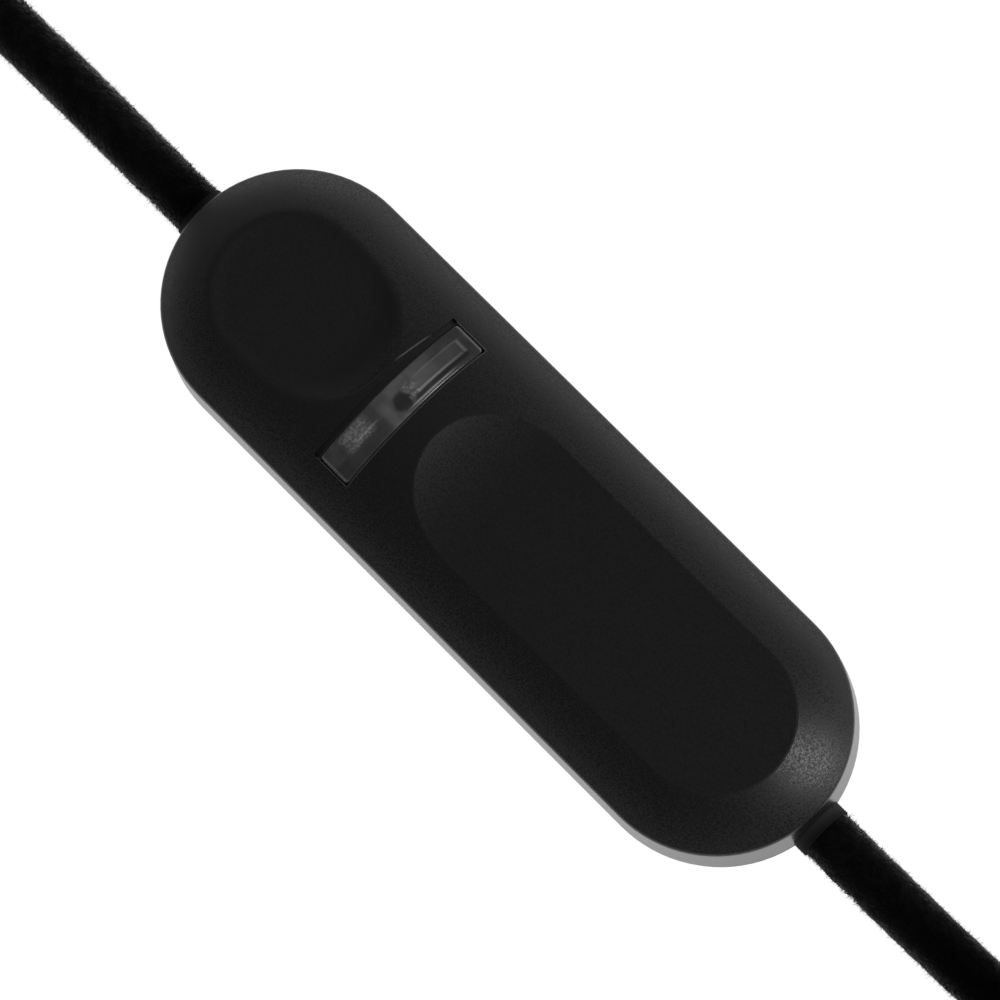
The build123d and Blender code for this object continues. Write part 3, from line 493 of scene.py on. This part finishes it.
# How much each mark darkens or lightens the bar
BAR_DARKER = {"web": 0.6, "hole": 0.7, "dull": 0.3}
BAR_LIGHTER = {
    "pocket": 0.03, "far_wall": 0.24, "near_wall": 0.06, "end_wall": 0.1, "edge_highlight": 0.35, "rim": 0.13,
    "crumbs": 0.2, "bridge": 0.05, "frost": 0.04, "speck": 0.22, "scratch": 0.2,
}


def smoky_clear():
    """The light bar: smoky plastic that shows its pocket and lamp hole, frosted at its other half, with painted
    highlights along its edge, its ends and the pocket's walls.
    """
    n = Nodes("smoky_clear")
    x, y, _ = n.millimetres()
    x = n.math("SUBTRACT", x, BAR_X)
    grain = n.noise(2600.0, 3.0, 0.75)
    cloud = n.noise(480.0, 3.0)
    marks = {name: n.both(n.band(x, *mark[:3]), n.band(y, *mark[3:])) for name, mark in BAR_MARKS.items()}
    marks["rim"] = n.band(n.math("ABSOLUTE", y), *BAR_RIM_HIGHLIGHT)
    off_x = n.math("MULTIPLY_ADD", n.noise(900.0), HOLE_UNEVEN, n.math("SUBTRACT", x, HOLE_AT[0]))
    off_y = n.math("MULTIPLY_ADD", cloud, HOLE_UNEVEN, n.math("SUBTRACT", y, HOLE_AT[1]))
    marks["hole"] = n.ramp(n.length(off_x, off_y), *HOLE_EDGE)
    marks["far_wall"] = n.both(marks["far_wall"], n.ramp(y, 9.6, 4.0, 0.3, 1.0))
    marks["crumbs"] = n.both(marks["crumbs"], n.ramp(grain, 0.44, 0.6))
    marks["speck"] = n.both(marks["frost"], n.ramp(grain, 0.4, 0.62))
    marks["scratch"] = n.both(marks["scratch"], n.ramp(cloud, 0.35, 0.6, 0.4, 1.0))
    light = n.both(
        n.ramp(y, 9.5, 1.5, 0.055, 0.16), n.ramp(y, -1.5, -3.2, 1.0, 0.65), n.ramp(cloud, 0.3, 0.7, 0.8, 1.2),
    )
    for name, much in BAR_DARKER.items():
        light = n.math("MULTIPLY", light, n.math("MULTIPLY_ADD", marks[name], -much, 1.0))
    for name, much in BAR_LIGHTER.items():
        light = n.math("MULTIPLY_ADD", marks[name], much, light)
    shade = n.add("CombineColor", Red=light, Green=light, Blue=light).outputs[0]
    # A painted glow at the bar's flanks
    past = n.math("MAXIMUM", n.past(x, 0.0, BAR_HALF[0] - 0.06), n.past(y, 0.0, BAR_HALF[1] - 0.06))
    flank = n.ramp(past, 0.0, 0.05)
    n.principled(
        Base_Color=shade, Roughness=n.math("MULTIPLY_ADD", marks["frost"], 0.25, 0.14), IOR=1.49,
        Transmission_Weight=0.2, Emission_Color=grey(1.0),
        Emission_Strength=n.math("MULTIPLY", flank, EDGE_GLOW),
        Normal=n.bump(grain, n.math("MULTIPLY_ADD", marks["frost"], 0.7, 0.05), 0.05),
    )
    return n.material


# The braid: strands each way, and millimetres along the cord for one turn
BRAID_STRANDS = 10
BRAID_PITCH = 17.0


def textile(name, shade, tip):
    """A braided sleeve: strands crossing both ways round the cord, with a dull clumped nap."""
    n = Nodes(name)
    split = n.add("SeparateXYZ", Vector=n.add("UVMap", uv_map="braid").outputs[0])
    along = n.math("DIVIDE", split.outputs["X"], BRAID_PITCH / BRAID_STRANDS)
    turn = n.math("MULTIPLY", split.outputs["Y"], BRAID_STRANDS)
    one, other = (
        n.math("SINE", n.math("MULTIPLY", n.math("MULTIPLY_ADD", along, way, turn), math.pi))
        for way in (1.0, -1.0)
    )
    # At each crossing one strand lies over the other
    over = n.ramp(n.math("MULTIPLY", one, other), 0.2, -0.2)
    weave = n.mix(over, n.math("ABSOLUTE", one), n.math("ABSOLUTE", other), "FLOAT")
    clumps = n.noise(700.0, 3.0, 0.6)
    nap = n.math("MULTIPLY_ADD", clumps, 1.6, n.noise(2600.0, 3.0))
    height = n.math("MULTIPLY_ADD", weave, 0.3, nap)
    n.principled(
        Base_Color=n.mix(n.ramp(clumps, 0.42, 0.66), grey(shade * 0.2), grey(shade)), Roughness=0.95,
        Specular_IOR_Level=0.05, Sheen_Weight=0.72, Sheen_Roughness=0.36, Sheen_Tint=grey(tip),
        Normal=n.bump(height, 0.8, 0.14),
    )
    return n.material


def fibre(name, shade):
    """A loose fibre end, lighter in patches."""
    n = Nodes(name)
    base = n.mix(n.noise(900.0), grey(shade * 0.6), grey(shade * 1.6))
    n.principled(Base_Color=base, Roughness=0.9, Specular_IOR_Level=0.03)
    return n.material


# A thread's width in the straps, in millimetres
THREAD = 0.5


def woven(name, colour):
    """A narrow strap: a plain weave of threads across and along."""
    n = Nodes(name)
    rows = [
        n.math("ABSOLUTE", n.math("SINE", n.math("MULTIPLY", v, math.pi / THREAD)))
        for v in n.millimetres()
    ]
    weave = n.math("MULTIPLY", rows[0], n.math("MAXIMUM", rows[1], rows[2]))
    height = n.math("MULTIPLY_ADD", n.noise(4000.0), 0.5, weave)
    base = n.mix(weave, times(colour, 0.5), times(colour, 1.3))
    n.principled(Base_Color=base, Roughness=0.85, Normal=n.bump(height, 0.6, 0.12))
    return n.material


MATERIALS = {
    "cover_black": cover_black(),
    "base_black": base_black(),
    "smoky_clear": smoky_clear(),
    "screw_steel": plated("screw_steel", (0.62, 0.62, 0.63), 0.34),
    "board_green": moulded("board_green", (0.012, 0.05, 0.026), 0.3, 0.4, 0.1),
    "contact_gold": plated("contact_gold", (0.83, 0.66, 0.32), 0.22),
    "chip_black": moulded("chip_black", (0.02, 0.02, 0.021), 0.55, 0.15, 0.3),
    "led_white": moulded("led_white", (0.3, 0.29, 0.26), 0.3, 0.3, 0.05),
    "terminal_green": moulded("terminal_green", (0.04, 0.26, 0.12), 0.42, 0.3, 0.12),
    "film_yellow": moulded("film_yellow", (0.75, 0.55, 0.06), 0.3, 0.4, 0.06),
    "can_black": moulded("can_black", (0.03, 0.04, 0.09), 0.26, 0.5, 0.04),
    "ferrite": moulded("ferrite", (0.05, 0.05, 0.055), 0.6, 0.2, 0.35),
    "copper": plated("copper", (0.72, 0.38, 0.22), 0.28),
    "spreader_alu": plated("spreader_alu", (0.76, 0.77, 0.78), 0.38),
    "fuse_ceramic": moulded("fuse_ceramic", (0.8, 0.79, 0.75), 0.36, 0.3, 0.06),
    "nickel": plated("nickel", (0.72, 0.7, 0.66), 0.2),
    "textile_black": textile("textile_black", 0.006, 0.9),
    "core_brown": moulded("core_brown", (0.16, 0.06, 0.025), 0.36, 0.4, 0.05),
    "core_blue": moulded("core_blue", (0.02, 0.1, 0.35), 0.36, 0.4, 0.05),
    "tie_black": woven("tie_black", (0.02, 0.02, 0.021)),
    "plug_black": moulded("plug_black", (0.012, 0.012, 0.0122), 0.48, 0.3, 0.25),
}
FIBRE = fibre("textile_fibre", 0.009)

# Stage and light, in metres

FLOOR_HALF = 20.0
# How far a direction points to +Y, from and to, and the room's brightness there
ROOM_DIM = {"From Min": -0.9, "From Max": -0.3, "To Min": 0.08, "To Max": 0.16}
# Flat lamps that face the casing: place, size and power
LAMPS = {
    "side_light": ((-0.2, 1.3, 0.12), (2.4, 0.3), 2.6),
    "side_fill": ((-0.2, 1.3, 0.75), (2.4, 0.7), 0.2),
    "end_light": ((0.86, 0.44, 0.63), (0.45, 0.7), 6.0),
    "far_light": ((-1.1, 0.3, 0.55), (0.9, 0.7), 0.14),
}


def make_floor():
    """A white light table, with a little plain white so that shadows show on it."""
    h = FLOOR_HALF
    floor = new_object("floor", [(-h, -h, 0), (h, -h, 0), (h, h, 0), (-h, h, 0)], [(0, 1, 2, 3)])
    n = Nodes("floor_white")
    n.principled(
        Base_Color=grey(0.12), Roughness=1.0, Specular_IOR_Level=0.0,
        Emission_Color=grey(1.0), Emission_Strength=1.0,
    )
    floor.data.materials.append(n.material)


def make_world():
    """A dim room, darker on the near side."""
    world = bpy.data.worlds.new("studio")
    bpy.context.scene.world = world
    world.use_nodes = True
    tree = world.node_tree
    tree.nodes.clear()
    way, split, dim, room, out = (
        tree.nodes.new("ShaderNode" + kind)
        for kind in ("TexCoord", "SeparateXYZ", "MapRange", "Background", "OutputWorld")
    )
    for key, value in ROOM_DIM.items():
        dim.inputs[key].default_value = value
    room.inputs["Color"].default_value = grey(1.0)
    tree.links.new(way.outputs["Generated"], split.inputs[0])
    tree.links.new(split.outputs["Y"], dim.inputs["Value"])
    tree.links.new(dim.outputs[0], room.inputs["Strength"])
    tree.links.new(room.outputs[0], out.inputs[0])


def make_lamp(name, at, size, power):
    data = bpy.data.lights.new(name, "AREA")
    data.shape = "RECTANGLE"
    data.size, data.size_y = size
    data.energy = power
    lamp = bpy.data.objects.new(name, data)
    bpy.context.collection.objects.link(lamp)
    lamp.location = at
    lamp.rotation_euler = (-Vector(at)).to_track_quat("-Z", "Y").to_euler()


make_camera()
make_floor()
make_world()
for lamp_name, lamp in LAMPS.items():
    make_lamp(lamp_name, *lamp)
bpy.context.scene.view_settings.view_transform = "Standard"

# The pieces: CAD nodes in their materials, and both cords with their nap

for part in frame["record"]["subparts"]:
    node = NODES[part["node"]]
    if not node.material_slots:
        node.data.materials.append(None)
    for slot in node.material_slots:
        slot.material = MATERIALS[part["material_slot"]]

mains_line, mains_length = centreline(mains_points())
lamp_line, lamp_length = centreline(lamp_points())
mains_cord = make_cord("mains_flex", mains_line, MAINS_SEEDS["cord"])
lamp_cord = make_cord("lamp_flex", lamp_line, LAMP_SEEDS["cord"])
mains_fuzz = make_fuzz("mains_flex_fuzz", mains_line, MAINS_SEEDS["nap"])
lamp_fuzz = make_fuzz("lamp_flex_fuzz", lamp_line, LAMP_SEEDS["nap"])

for piece in (mains_cord, lamp_cord):
    piece.data.materials.append(MATERIALS["textile_black"])
for piece in (mains_fuzz, lamp_fuzz):
    piece.data.materials.append(FIBRE)
for piece in (mains_cord, lamp_cord, mains_fuzz, lamp_fuzz):
    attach(piece, "root")

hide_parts("mains_cord", "mains_hank", "mains_tail")
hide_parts("lamp_cord", "lamp_hank")
